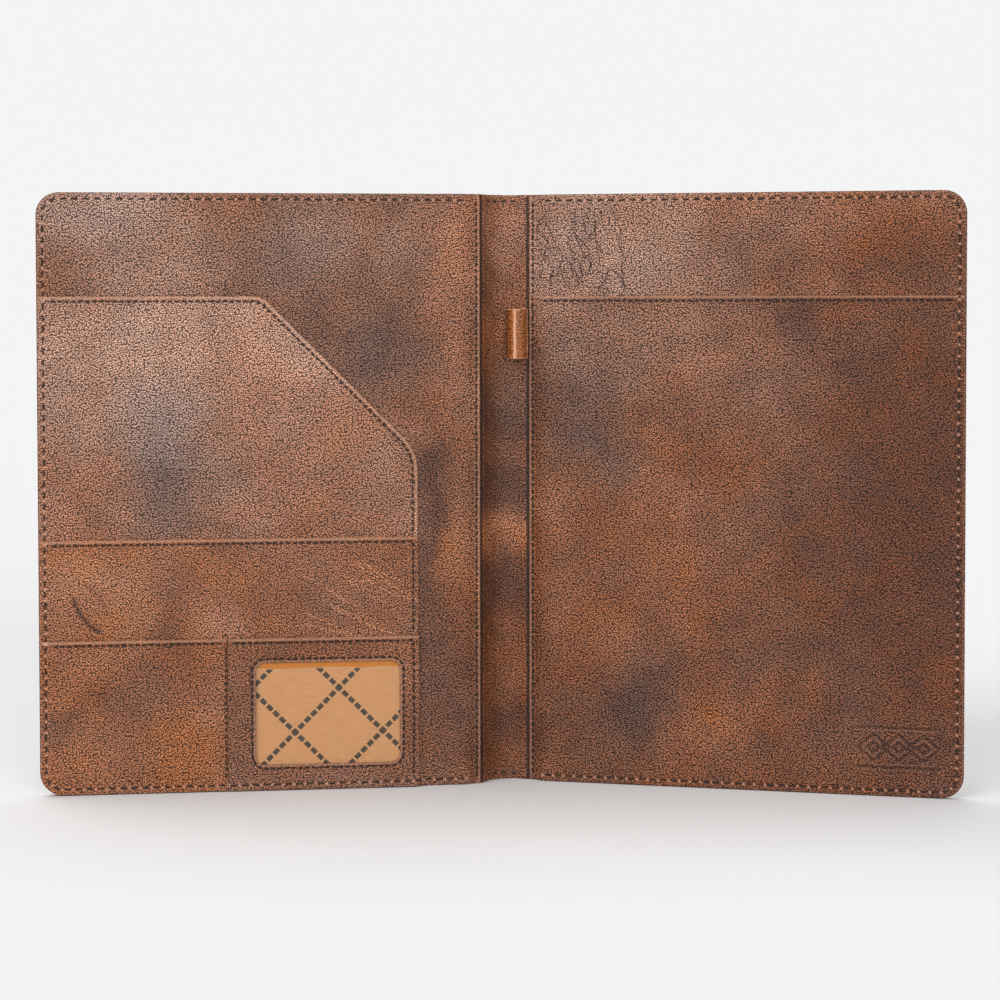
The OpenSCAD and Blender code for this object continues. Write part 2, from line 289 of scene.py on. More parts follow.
def triangles(loops, inner):
    """Triangles over the area between the first loop and the others, which are holes.
    Returns the points, the triangles, and where each loop's points ended up."""
    points, edges = [], []
    for loop in loops:
        first = len(points)
        points += [Vector(p) for p in loop]
        edges += [(first + i, first + (i + 1) % len(loop)) for i in range(len(loop))]
    points += [Vector(p) for p in inner]
    made, _, faces, origins, _, _ = delaunay_2d_cdt(points, edges, [], 1, 1e-4)
    made = np.array([tuple(p) for p in made])
    faces = np.array(faces)
    centres = made[faces].mean(axis=1)
    for loop in loops[1:]:
        faces = faces[~inside(centres, np.vstack((loop, loop[:1])))]
        centres = made[faces].mean(axis=1)
    found = {source: i for i, sources in enumerate(origins) for source in sources}
    rims, first = [], 0
    for loop in loops:
        rims.append([found[first + i] for i in range(len(loop))])
        first += len(loop)
    return made, faces, rims


def make_object(name, points, faces, material, smooth_angle=50):
    """An object from points in millimetres, its faces turned outwards."""
    mesh = bpy.data.meshes.new(name)
    mesh.from_pydata([tuple(p) for p in np.asarray(points) * MM], [], [list(f) for f in faces])
    turned = bmesh.new()
    turned.from_mesh(mesh)
    bmesh.ops.recalc_face_normals(turned, faces=turned.faces)
    turned.to_mesh(mesh)
    turned.free()
    mesh.polygons.foreach_set("use_smooth", [True] * len(mesh.polygons))
    mesh.set_sharp_from_angle(angle=math.radians(smooth_angle))
    mesh.materials.append(material)
    made = bpy.data.objects.new(name, mesh)
    bpy.context.scene.collection.objects.link(made)
    return made


def store(made, name, values):
    """Stores a vector for each point of a mesh, for the materials to read."""
    attribute = made.data.attributes.new(name, "FLOAT_VECTOR", "POINT")
    attribute.data.foreach_set("vector", np.asarray(values, np.float32).ravel())


# ---- Leather shapes ----

def ease(t):
    t = np.clip(t, 0, 1)
    return t * t * (3 - 2 * t)


def edge_drop(gap, radius):
    """How far a rounded edge lies below the face at a distance from the edge."""
    t = 1 - np.clip(gap / radius, 0, 1)
    return radius * (1 - np.sqrt(1 - t * t))


def bead(gap, wide, high):
    """The rounded back of a turned hem, wide from the edge inwards."""
    t = np.clip(2 * gap / wide - 1, -1, 1)
    return high * np.sqrt(1 - t * t)


def ripple(x, z, seed, size):
    """Gentle unevenness of leather that lies over something."""
    return size * np.array([noise.noise(Vector((a, b, seed * 7.3)))
                            for a, b in zip(x / 34, z / 41)])


class Row:
    """A row of stitches along a path: the middle and direction of each one."""

    def __init__(self, path, pitch):
        runs = np.linalg.norm(np.diff(path, axis=0), axis=1)
        along = np.concatenate(([0], np.cumsum(runs)))
        self.path = path
        self.count = max(1, round(along[-1] / pitch))
        self.pitch = along[-1] / self.count
        at = (np.arange(self.count) + 0.5) * self.pitch
        self.points = np.column_stack([np.interp(at, along, path[:, i]) for i in (0, 1)])
        segment = np.clip(np.searchsorted(along, at) - 1, 0, len(runs) - 1)
        self.headings = np.diff(path, axis=0)[segment] / runs[segment][:, None]

    def dent(self, points):
        """1 under each stitch, falling to 0 beside it and between it and the next."""
        length = 0.36 * self.pitch
        deep = np.zeros(len(points))
        for centre, heading in zip(self.points, self.headings):
            away = points - centre
            near = (np.abs(away) < self.pitch).all(axis=1)
            along = away[near] @ heading
            across = away[near] @ np.array((-heading[1], heading[0]))
            shape = np.exp(-(along / length) ** 4 - (across / 0.55) ** 2)
            deep[near] = np.maximum(deep[near], shape)
        return deep

    def valley(self, points):
        return np.exp(-(distance(points, self.path) / 0.8) ** 2)


@dataclass
class Panel:
    """A leather panel: an outline in a cover's frame, a base height for each face, beads
    (path, width, height) along its turned edges, rows of stitches that pull it down, and
    marks (path, width, tone, depth). across gives the x that its pattern runs along."""

    outline: object
    top: object
    bottom: object
    beads: tuple = ()
    rows: tuple = ()
    edge_r: float = 0.45
    hole: object = None
    seed: int = 1
    swell: float = 0.12
    hidden: object = None
    extra: object = None
    press: object = None
    marks: tuple = ()
    across: object = lambda x: x

    def contains(self, points):
        within = inside(points, self.outline)
        return within & ~inside(points, self.hole) if self.hole is not None else within

    def gap(self, points):
        gap = distance(points, self.outline)
        return gap if self.hole is None else np.minimum(gap, distance(points, self.hole))

    def relief(self, points):
        """Height above the base, and a value that is above 0 where a point is worn or takes a painted highlight,
        and below 0 where a sunken point takes painted shade.
        """
        gap = self.gap(points)
        calm = ease(gap / 14)
        rise = ripple(points[:, 0], points[:, 1], self.seed, self.swell) * calm
        rise -= edge_drop(gap, self.edge_r)
        wear_and_painted_light = 0.4 * (1 - ease(gap / 1.1))
        for path, wide, high in self.beads:
            hem = distance(points, path)
            rise += bead(hem, wide, high)
            # Hem crowns are made paler: rubbed leather with a painted highlight on the crown.
            wear_and_painted_light = np.maximum(wear_and_painted_light, bead(hem, wide, 0.52))
        for row in self.rows:
            deep = row.dent(points)
            valley = row.valley(points)
            coarse = ease((row.pitch - hem_pitch) / (edge_pitch - hem_pitch))
            rise -= (0.22 + 0.30 * coarse) * deep + (0.16 + 0.10 * coarse) * valley
            # Stitch dents and the groove along fine rows are painted darker: painted shade.
            wear_and_painted_light = wear_and_painted_light - 0.75 * deep - 0.3 * (1 - coarse) * valley
            # The raised leather between stitches is painted paler: a painted highlight.
            between = np.clip(valley - 1.6 * deep, 0, 1)
            rise += 0.3 * coarse * between
            wear_and_painted_light = wear_and_painted_light + (0.25 + 0.75 * coarse) * between
        for path, wide, _, deep in self.marks:
            rise -= deep * np.exp(-(distance(points, path) / wide) ** 2)
        if self.press is not None:
            line = self.press(points)
            deep = 1 - ease((line - 0.25) / 0.8)
            rim = np.exp(-((line - 1.4) / 0.5) ** 2)
            rise -= 0.4 * deep - 0.1 * rim
            # Pressed lines are painted darker, as painted shade, and their rims paler, as a painted highlight.
            wear_and_painted_light = wear_and_painted_light - 0.5 * deep + 0.4 * rim
        return rise, np.clip(wear_and_painted_light, -1, 1)

    def height(self, points):
        return self.top(points[:, 0]) + self.relief(points)[0]

    def detail(self):
        """Points where the surface needs them: edges, hems and rows of stitches."""
        rows = [beside(self.outline, (0.1, 0.3, 0.7, 1.3), 2.4)]
        if self.hole is not None:
            rows.append(beside(self.hole, (0.1, 0.3, 0.7, 1.3), 1.2))
        for path, wide, _ in self.beads:
            rows.append(beside(path, (0.12, 0.35, 0.7, 1.1, 1.5, 1.85, wide), 1.8))
        for row in self.rows:
            rows.append(beside(row.path, (0, 0.35, 0.75, 1.2, 1.8, 2.6, 3.8), 0.7))
        for path, wide, _, _ in self.marks:
            rows.append(beside(path, (0, 0.5 * wide, wide, 1.7 * wide), 1.5))
        if self.extra is not None:
            rows.append(self.extra)
        points = np.concatenate(rows)
        if self.hidden is not None:
            points = points[~self.hidden(points)]
        return points[self.contains(points)]

    def build(self, name, place, material, tint, coarse=5):
        loops = [walk(self.outline, 1.2)[0]]
        if self.hole is not None:
            loops.append(walk(self.hole, 1.2)[0])
        fine = self.detail()
        fine = thinned(fine[self.gap(fine) > 0.07], 0.24)
        low, high = self.outline.min(0), self.outline.max(0)
        loose = lattice(low, high, coarse)
        loose = loose[self.contains(loose)]
        loose = loose[self.gap(loose) > 0.9]
        tree = kdtree.KDTree(len(fine))
        for i, p in enumerate(fine):
            tree.insert((p[0], p[1], 0), i)
        tree.balance()
        free = [tree.find((p[0], p[1], 0))[2] > 0.45 * coarse for p in loose]
        front = triangles(loops, np.concatenate((fine, loose[free])))
        steps = self.back_points(low, high)
        back = triangles(loops, steps)
        points, flats, tints, faces = [], [], [], []
        for (flat, found, rims), facing in ((front, True), (back, False)):
            x, z = flat[:, 0], flat[:, 1]
            if facing:
                rise, wear_and_painted_light = self.relief(flat)
                n = self.top(x) + rise
            else:
                wear_and_painted_light = np.full(len(flat), 0.2)
                n = self.bottom(flat) + 0.3 * edge_drop(self.gap(flat), self.edge_r)
            first = sum(len(p) for p in points)
            points.append(place(x, n, z))
            offset = seed_shift * self.seed
            even = self.across(x)
            flats.append(np.column_stack((even * MM + offset, z * MM + offset, n * MM)))
            tone, warm = tint(even, z)
            for path, wide, shade, _ in self.marks:
                tone += shade * np.exp(-(distance(flat, path) / wide) ** 2)
            tints.append(np.column_stack((tone, warm, wear_and_painted_light)))
            faces += [tuple(first + i for i in face) for face in found]
        first = len(points[0])
        for front_rim, back_rim in zip(front[2], back[2]):
            for i in range(len(front_rim)):
                j = (i + 1) % len(front_rim)
                faces.append((front_rim[i], front_rim[j],
                              first + back_rim[j], first + back_rim[i]))
        made = make_object(name, np.concatenate(points), faces, material)
        store(made, "flat", np.concatenate(flats))
        store(made, "tint", np.concatenate(tints))
        return made

    def back_points(self, low, high):
        """A few points for the face that lies on other pieces: beside the ramp and steps."""
        points = [lattice(low, high, 14)]
        lines = np.arange(low[1] + 2, high[1] - 1, 6.0)
        for x in (4, 5.5, 6.5, 7.5, 8.5, 9.5):
            if low[0] < x < high[0]:
                points.append(np.column_stack((np.full(len(lines), x), lines)))
        points = np.concatenate(points)
        points = points[self.contains(points)]
        return points[self.gap(points) > 0.8]


def level(value):
    """A face that lies at one height."""
    return lambda at: np.full(len(at), float(value))


def patches(*spots):
    """Tone and warmth from soft uneven spots: (x, z, radius across, radius up, tone, warmth)."""
    def tint(x, z):
        tone = np.zeros(len(x))
        warm = np.zeros(len(x))
        across, up = [12 * np.array([noise.noise(Vector((a, b, layer)))
                                     for a, b in zip(x / 22, z / 22)]) for layer in (3.7, 11.3)]
        x = x + across
        z = z + up
        for at_x, at_z, wide, high, light, heat in spots:
            weight = np.exp(-((x - at_x) / wide) ** 2 - ((z - at_z) / high) ** 2)
            tone += light * weight
            warm += heat * weight
        return tone, warm
    return tint


# ---- Materials ----

def srgb(red, green, blue):
    return tuple(((c / 255 + 0.055) / 1.055) ** 2.4 for c in (red, green, blue)) + (1,)


class Shader:
    """A material's nodes. Each method adds one and returns its output."""

    def __init__(self, name):
        self.material = bpy.data.materials.new(name)
        self.material.use_nodes = True
        self.nodes = self.material.node_tree.nodes
        self.links = self.material.node_tree.links
        self.surface = self.nodes["Principled BSDF"]

    def put(self, socket, value):
        if isinstance(value, bpy.types.NodeSocket):
            self.links.new(value, socket)
        else:
            socket.default_value = value

    def node(self, kind, inputs, **settings):
        """Adds a node. inputs are values or outputs of other nodes, by name or number."""
        made = self.nodes.new("ShaderNode" + kind)
        for name, value in settings.items():
            setattr(made, name, value)
        for socket, value in inputs.items():
            self.put(made.inputs[socket], value)
        return made.outputs

    def attribute(self, name):
        return self.node("Attribute", {}, attribute_name=name)["Vector"]

    def position(self):
        return self.node("TexCoord", {})["Object"]

    def split(self, vector):
        return self.node("SeparateXYZ", {0: vector})

    def join(self, x, y, z):
        return self.node("CombineXYZ", {0: x, 1: y, 2: z})[0]

    def math(self, kind, *values, clamp=False):
        return self.node("Math", dict(enumerate(values)), operation=kind, use_clamp=clamp)[0]

    def add(self, first, second):
        return self.math("ADD", first, second)

    def times(self, first, second):
        return self.math("MULTIPLY", first, second)

    def linear(self, value, factor, base, clamp=False):
        return self.math("MULTIPLY_ADD", value, factor, base, clamp=clamp)

    def vector(self, kind, first, second):
        return self.node("VectorMath", {0: first, 1: second}, operation=kind)["Vector"]

    def scale(self, vector, amount):
        return self.node("VectorMath", {0: vector, "Scale": amount}, operation="SCALE")["Vector"]

    def noise(self, vector, scale, detail=2.0, rough=0.5, color=False):
        made = self.node("TexNoise", {
            "Vector": vector, "Scale": scale, "Detail": detail, "Roughness": rough})
        return made["Color" if color else "Fac"]

    def cells(self, vector, scale, randomness):
        """Distance to the middle of the nearest of many small cells."""
        made = self.node("TexVoronoi", {
            "Vector": vector, "Scale": scale, "Randomness": randomness}, voronoi_dimensions="2D")
        return made["Distance"]

    def saturate(self, color, amount):
        return self.node("HueSaturation", {"Saturation": amount, "Color": color})[0]

    def span(self, value, low, high, to_low=0.0, to_high=1.0):
        """Maps a range smoothly to another and stays within it."""
        ends = dict(enumerate((value, low, high, to_low, to_high)))
        return self.node("MapRange", ends, interpolation_type="SMOOTHSTEP")[0]

    def mix(self, share, first, second):
        return self.node("Mix", {0: share, 6: first, 7: second}, data_type="RGBA")[2]

    def ramp(self, share, *stops):
        node = self.nodes.new("ShaderNodeValToRGB")
        self.put(node.inputs[0], share)
        elements = node.color_ramp.elements
        while len(elements) < len(stops):
            elements.new(1)
        for element, (at, color) in zip(elements, stops):
            element.position = at
            element.color = color
        return node.outputs[0]

    def bump(self, height_m, strength):
        bumped = self.node("Bump", {"Strength": strength, "Distance": 1.0, "Height": height_m})
        self.put(self.surface.inputs["Normal"], bumped[0])

    def finish(self, **settings):
        for name, value in settings.items():
            self.put(self.surface.inputs[name.replace("_", " ")], value)
        return self.material


def leather(name, cell=1.0, roughness=0.44, gloss=0.32, polish=0.0, light=0.0, heat=0.0):
    """Pull-up leather: pebble grain with painted shade between the pebbles and a painted sheen on them, cloudy
    dark and warm patches, pale worn edges, and painted highlights and painted shade from the tint's third value.
    cell is the size of the grain's pebbles in millimetres."""
    s = Shader(name)
    flat = s.attribute("flat")
    tone, warm, wear_and_painted_light = s.split(s.attribute("tint"))
    sway = s.vector("SUBTRACT", s.noise(flat, 240, 2, 0.6, color=True), (0.5, 0.5, 0.5))
    swayed = s.vector("ADD", flat, s.scale(sway, 0.0018))
    # Round pebbles of uneven height, which lie flatter beside hems and stitches. Each pebble is also sampled a
    # little higher up; the difference is above 0 on a pebble's upper side and below 0 on its lower side, and
    # paints the upper side paler and the lower side darker as if lit from above: painted light.
    above = s.vector("ADD", swayed, (0.0, 0.32 * MM * cell, 0.0))
    pebble, pebble_toward_light = [s.span(s.cells(at, 1 / (cell * MM), 0.92), 0.64, 0.02)
                      for at in (swayed, above)]
    painted_top_light = s.math("SUBTRACT", pebble, pebble_toward_light)
    uneven = s.noise(swayed, 1300 / cell, 1, 0.5)
    raised = s.add(s.times(pebble, 0.95),
                    s.linear(uneven, 0.36, -0.15))
    calm = s.span(s.math("ABSOLUTE", wear_and_painted_light), 0.95, 0.2, 0.2, 1.0)
    # Clouds of darker and warmer colour
    drift = s.vector("ADD", flat, s.scale(sway, 0.004))
    clouds = s.noise(drift, 16, 4, 0.55)
    blots = s.noise(flat, 62, 4, 0.6)
    wander = s.noise(flat, 330, 3, 0.65)
    mood = s.add(s.linear(clouds, 0.7, -0.35), s.linear(blots, 0.8, -0.4))
    mood = s.add(mood, s.linear(wander, 0.3, -0.15))
    mood = s.add(mood, s.add(tone, light))
    color = s.ramp(
        s.linear(mood, 0.5, 0.5, clamp=True),
        (0.0, srgb(46, 25, 16)), (0.28, srgb(80, 46, 31)), (0.5, srgb(112, 69, 46)),
        (0.75, srgb(142, 91, 62)), (1.0, srgb(172, 118, 84)))
    glow = s.add(s.add(warm, heat),
                  s.linear(s.noise(flat, 27, 3), 1.2, -0.6))
    color = s.saturate(color, s.linear(glow, 0.3, 0.96))
    # Painted shade between the pebbles and a painted sheen on their tops. The tint's third value makes the leather
    # paler above 0, for worn edges and for painted highlights on hem crowns, stitch bridges and other ridges, and
    # darker below 0, as painted shade in stitch dents, grooves and sunken places.
    low = s.scale(color, 0.3)
    top_sheen = s.mix(0.08, s.scale(color, 2.95), srgb(206, 174, 160))
    grain_lit_from_above = s.linear(painted_top_light, 0.48, raised)
    share = s.linear(s.math("SUBTRACT", grain_lit_from_above, 0.42), calm, 0.42, clamp=True)
    color = s.mix(s.math("POWER", share, 1.4), low, top_sheen)
    color = s.mix(s.span(wear_and_painted_light, 0.15, 0.95, 0.0, 0.9), color,
                  s.mix(0.6, color, srgb(232, 180, 150)))
    color = s.mix(s.span(wear_and_painted_light, -0.06, -0.7, 0.0, 0.85), color, srgb(24, 13, 9))
    rough = s.linear(blots, 0.2, roughness - 0.1)
    rough = s.add(rough, s.span(raised, 0.6, 0.2, 0.0, 0.2))
    relief = s.times(raised, s.linear(calm, 0.00022, 0.00003))
    relief = s.add(relief, s.times(wander, 0.0004))
    s.bump(relief, 0.8)
    return s.finish(Base_Color=color, Roughness=rough, Specular_IOR_Level=gloss,
                    Coat_Weight=polish, Coat_Roughness=0.16)


def fibrous(s, position, scale, detail, dark, pale, relief, strength, roughness):
    """Plain stuff of fine fibres, mottled between a dark and a pale colour."""
    fibres = s.noise(position, scale, *detail)
    color = s.ramp(fibres, dark, pale)
    s.bump(s.times(fibres, relief), strength)
    return s.finish(Base_Color=color, Roughness=roughness)


def thread_material():
    s = Shader("thread_dark_brown")
    return fibrous(s, s.position(), 2600, (2, 0.6), (0.25, srgb(20, 12, 9)),
                   (0.8, srgb(54, 33, 23)), 0.00015, 0.8, 0.62)


def board_material():
    s = Shader("greyboard")
    flattened = s.vector("MULTIPLY", s.position(), (1, 1, 3))
    return fibrous(s, flattened, 320, (4, 0.7), (0.2, srgb(128, 112, 92)),
                   (0.8, srgb(170, 154, 130)), 0.0002, 0.6, 0.9)


def cloth_material():
    """Tan plain weave with a printed lattice of broken diamond lines."""
    s = Shader("tan_printed_cloth")
    x, z, _ = s.split(s.attribute("flat"))
    flat = s.join(x, z, 0.0)
    yarn = 2 * math.pi / 0.00052
    warp = s.math("SINE", s.times(x, yarn))
    weft = s.math("SINE", s.times(z, yarn))
    weave = s.times(warp, weft)
    slub = s.noise(s.vector("MULTIPLY", flat, (1, 9, 1)), 120, 3, 0.6)
    color = s.ramp(slub, (0.2, srgb(180, 124, 78)), (0.8, srgb(200, 146, 94)))
    color = s.mix(s.span(weave, -1.0, 0.6, 0.22, 0.0), color, srgb(150, 96, 52))
    period = 0.047
    ink = None
    for sign in (1, -1):
        across = s.linear(z, sign, x)
        along = s.linear(z, -sign, x)
        off, dash = [
            s.math("ABSOLUTE", s.math("SUBTRACT", s.math("FRACT", s.math("DIVIDE", value, size)), 0.5))
            for value, size in ((across, period), (along, period / 7))]
        stroke = s.times(s.span(off, 0.042, 0.034), s.span(dash, 0.40, 0.35))
        ink = stroke if ink is None else s.math("MAXIMUM", ink, stroke)
    color = s.mix(s.times(ink, 0.96), color, srgb(16, 13, 15))
    s.bump(s.times(weave, 0.00004), 0.6)
    return s.finish(Base_Color=color, Roughness=0.8, Specular_IOR_Level=0.1)


def film_material(light_band_z):
    """Clear film. An amber band is painted into it above light_band_z, in metres: painted light along the top of
    the window.
    """
    s = Shader("clear_window_film")
    place = s.attribute("flat")
    x, z, _ = s.split(place)
    bend = s.linear(s.noise(s.join(x, 0.0, 0.0), 45, 1), 0.003, -0.0015)
    light_band = s.span(s.math("SUBTRACT", s.add(z, bend), light_band_z), 0.0, 0.0006)
    color = s.mix(light_band, srgb(255, 245, 225), srgb(206, 128, 40))
    s.bump(s.times(s.noise(place, 40, 2), 0.0006), 0.5)
    return s.finish(Base_Color=color, Roughness=0.12, Specular_IOR_Level=0.6,
                    Alpha=s.linear(light_band, 0.6, 0.03))


THREAD = thread_material()
BOARD = board_material()
CLOTH = cloth_material()


# ---- Outlines and rows of the pieces ----

def cover_outline(inset, from_x, to_z=None):
    """A panel from from_x to a cover's free edge, cut smaller by inset, up to to_z."""
    far, low, r = width - inset, inset, corner_r - inset
    if to_z is None:
        return rounded([(from_x, low, 0), (far, low, r), (far, height - inset, r),
                        (from_x, height - inset, 0)])
    return rounded([(from_x, low, 0), (far, low, r), (far, to_z, 0), (from_x, to_z, 0)])


def mouth_path(inset):
    """The document pocket's open edge, moved inwards by inset, from low to high."""
    tan_half = math.tan(math.pi / 8)
    slant_x = stack_x + mouth_z - slant_z
    return [(stack_x + inset, slant_z - inset * tan_half, low_corner_r - inset),
            (slant_x + inset * tan_half, mouth_z - inset, high_corner_r - inset)]


free = width - edge_step
document_outline = rounded([(stack_x, edge_step, 0), (free, edge_step, corner_r - edge_step),
                            (free, mouth_z, 0), *reversed(mouth_path(0))])
document_mouth = rounded([(stack_x, middle_z, 0), *mouth_path(0), (free, mouth_z, 0)],
                         closed=False)
window_low = cloth_low[[0, 2]] + film_lap
window_high = cloth_high[[0, 2]] - film_lap


def window_outline(grow):
    return box(*(window_low - grow), *(window_high + grow), window_r + grow)


def straight(a, b):
    return np.array((a, b), float)


def hem_row(a, b):
    return Row(straight(a, b), hem_pitch)


inner_r = corner_r - edge_inset
far_row = width - edge_inset
edge_row = Row(rounded([
    (board_low[0], edge_inset, 0), (far_row, edge_inset, inner_r),
    (far_row, height - edge_inset, inner_r), (board_low[0], height - edge_inset, 0)],
    closed=False), edge_pitch)
seam_row = hem_row((seam_x, edge_inset), (seam_x, height - edge_inset))
row_end = width - 2 * edge_inset
stack_row_x = stack_x + hem_inset
document_row = Row(rounded([
    (stack_row_x, middle_z + 2, 0), *mouth_path(hem_inset),
    (row_end, mouth_z - hem_inset, 0)], closed=False), hem_pitch)
hem_end = middle_z - hem_inset
card_hem = card_z - hem_inset
card_x = card_low[0]
divider_row_x = divider_x + 1.1
middle_rows = [hem_row((stack_row_x, hem_end), (row_end, hem_end)),
               hem_row((stack_row_x, card_z + 2), (stack_row_x, hem_end))]
sleeve_rows = [hem_row((stack_row_x, card_hem), (divider_x - hem_inset, card_hem)),
               hem_row((stack_row_x, 2 * edge_inset), (stack_row_x, card_hem))]
card_row = hem_row((divider_x + hem_inset, card_hem), (row_end, card_hem))
divider_row = hem_row((divider_row_x, 2 * edge_inset), (divider_row_x, card_hem - 2))
window_row = Row(window_outline(window_gap), hem_pitch)
pad_row = hem_row((board_low[0], mouth_z - hem_inset), (row_end, mouth_z - hem_inset))


def lining_face(x):
    """Top of a lining: flat on the outer leather beside the hinge, then up onto the board."""
    return skin_half + margin_t + (lining_top - skin_half - margin_t) * ease((x - 4) / 5)


def lining_back(at):
    return skin_half + (board_top - skin_half) * ease((at[:, 0] - 5.5) / 3)


def pad_face(x):
    low = skin_half + 2 * margin_t
    return low + (lining_top + panel_t - low) * ease((x - 3.5) / 5.5)


def pad_back(at):
    return lining_face(at[:, 0]) + 0.02


# ---- Creases and scratches ----


def arched(start, end, bend):
    """A shallow arc between two points."""
    start, end = np.array(start, float), np.array(end, float)
    side = np.array((start[1] - end[1], end[0] - start[0]))
    t = np.linspace(0, 1, 7)[:, None]
    return start + t * (end - start) + 4 * t * (1 - t) * bend * side


def strokes(low, high, count, seed, run, bends, wide, tones, depth):
    """Marks over a box: run draws each one's length and direction, bends and tones are the
    ranges of its bend and tone."""
    draw = np.random.default_rng(seed)
    marks = []
    for _ in range(count):
        start = draw.uniform(low, high)
        end = np.clip(start + run(draw), low, high)
        marks.append((arched(start, end, draw.uniform(*bends)), wide,
                      math.copysign(1, tones[0]) * draw.uniform(*np.abs(tones)), depth))
    return marks


def crease(draw):
    """A slanting crease, as in leather that has been folded in the hand."""
    lean = draw.uniform(-0.6, -0.1) if draw.random() < 0.7 else draw.uniform(0.15, 0.6)
    return -draw.uniform(5, 17) * np.array((lean, 1))


def scratch(draw):
    """A long scratch that rises across the box."""
    return draw.uniform(12, 40) * np.array((-1, draw.uniform(-0.8, -0.35)))


# ---- Front cover ----

def ride_on(made, body, slot_name, *nodes):
    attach(made, body)
    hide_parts(*nodes)
    return made


def left_edge(path_x, low, high):
    return straight((path_x, low), (path_x, high))


def line_cover(cover, panel, node, material, tint, name=None):
    """Builds one of the leather pieces on a cover's inside, in place of its CAD node."""
    made = panel.build((name or node) + "_panel", cover.place, material, tint)
    ride_on(made, cover.body, "lining_leather", node)


def pocket(outline, base, mouth, rows, **more):
    """A flat panel of the pocket stack, with a turned hem along its mouth."""
    return Panel(outline, level(base + panel_t), level(base), beads=[(mouth, hem_w, hem_t)],
                 rows=[*rows, edge_row], **more)


def under_pocket(mouth):
    """Which points lie well below the mouth of the next pocket, where nothing shows."""
    return lambda p: (p[:, 1] < mouth - 8) & (p[:, 0] > stack_x + 3) & (p[:, 0] < free - 6)


front_lining = Panel(
    cover_outline(edge_step, hinge_x), lining_face, lining_back,
    beads=[(left_edge(hinge_x, edge_step, height - edge_step), 1.8, 0.45)],
    rows=[edge_row, seam_row], seed=1, swell=0.35,
    hidden=lambda p: (p[:, 0] > stack_x + 12) & (p[:, 1] < slant_z - 12) | (
        (p[:, 0] > 130) & (p[:, 1] < mouth_z - 10)))
document_pocket = pocket(document_outline, document_low[1], document_mouth, [document_row],
                         seed=2, swell=0.5, hidden=under_pocket(middle_z))
middle_pocket = pocket(
    cover_outline(edge_step, stack_x, middle_z), middle_low[1],
    straight((stack_x, middle_z), (free, middle_z)), middle_rows, seed=3, swell=0.3,
    marks=[*strokes((30, 82), (110, 122), 16, 5, scratch, (0.0, 0.05), 0.34, (0.4, 1.0), 0.06),
           (arched((218, 104), (204, 86), 0.1), 1.1, -1.0, 0.12),
           (arched((212, 112), (200, 96), -0.1), 0.8, -0.5, 0.05)],
    hidden=under_pocket(card_z))
card_pocket = pocket(cover_outline(edge_step, card_x, card_z), card_low[1],
                     straight((card_x, card_z), (free, card_z)), [card_row, divider_row],
                     seed=4, swell=0.4)
sleeve_top = id_high[1] - hem_t


def sleeve_back(at):
    """The sleeve's back: down on the middle pocket at its glued border, up over the film."""
    x, z = at[:, 0], at[:, 1]
    border = np.minimum(np.minimum(x - stack_x, divider_x - x), z - edge_step)
    return id_low[1] + (film_high[1] - id_low[1]) * ease((border - 4) / 1.5)


id_pocket = Panel(
    box(stack_x, edge_step, divider_x, card_z), level(sleeve_top), sleeve_back,
    beads=[(straight((stack_x, card_z), (divider_x, card_z)), hem_w, hem_t),
           (window_outline(0), 1.5, 0.18)],
    rows=[*sleeve_rows, window_row, edge_row], hole=window_outline(0), seed=5, swell=0.15)

FRONT_PANELS = [front_lining, document_pocket, middle_pocket, card_pocket, id_pocket]

# The first two spots, pale and less warm near the top of the cover's far side, are a painted sheen.
lining_tint = patches(
    (215, 312, 60, 22, 0.55, -1.0), (175, 275, 34, 22, 0.35, -0.6),
    (110, 278, 30, 18, -0.15, -0.5), (78, 300, 40, 20, 0.2, -0.5), (13, 290, 16, 40, 0.45, 0.0),
    (66, 232, 32, 24, -0.42, -0.3), (24, 225, 16, 40, 0.25, 0.1), (25, 165, 18, 26, -0.3, 0.1),
    (13, 130, 12, 28, 0.35, 0.3), (27, 135, 9, 70, -0.4, 0.1), (14, 50, 20, 50, -0.3, 0.3))
document_tint = patches(
    (150, 250, 110, 34, 0.35, -0.4), (172, 190, 24, 24, -0.15, -0.9),
    (165, 160, 26, 28, -0.42, -0.3), (215, 150, 20, 30, -0.1, 0.2), (200, 225, 50, 30, 0.0, -0.3),
    (80, 150, 50, 30, -0.15, 0.3), (160, 138, 40, 8, -0.3, 0.0))
middle_tint = patches(
    (215, 118, 24, 18, 0.45, 0.0), (200, 96, 20, 16, 0.2, 0.0), (168, 90, 12, 26, -0.35, 0.0),
    (140, 92, 14, 12, 0.3, 0.0), (60, 100, 60, 30, -0.1, 0.0))
card_tint = patches(
    (200, 52, 16, 12, -0.45, 0.0), (165, 66, 16, 12, -0.25, 0.0), (224, 35, 10, 14, -0.3, 0.0),
    (208, 18, 16, 12, 0.2, 0.0))
id_tint = patches((60, 5, 50, 8, 0.0, -0.4), (45, 66, 12, 14, 0.1, 0.1))

line_cover(FRONT, front_lining, "front_lining", leather("leather_left_lining"), lining_tint)
line_cover(FRONT, document_pocket, "document_pocket",
           leather("leather_document_pocket", light=0.35, heat=-0.2), document_tint)
line_cover(FRONT, middle_pocket, "middle_pocket",
           leather("leather_middle_pocket", cell=0.95, light=0.2, heat=0.2), middle_tint)
line_cover(FRONT, card_pocket, "card_pocket",
           leather("leather_card_pocket", light=0.2, heat=0.35), card_tint)
line_cover(FRONT, id_pocket, "id_pocket", leather("leather_id_sleeve", heat=0.2), id_tint,
           name="id_sleeve")

SHEET_SEED = 6
# Height of the band of painted light at the top of the window, in millimetres.
light_band_h = 3.6
FILM = film_material((window_high[1] - light_band_h) * MM + seed_shift * SHEET_SEED)


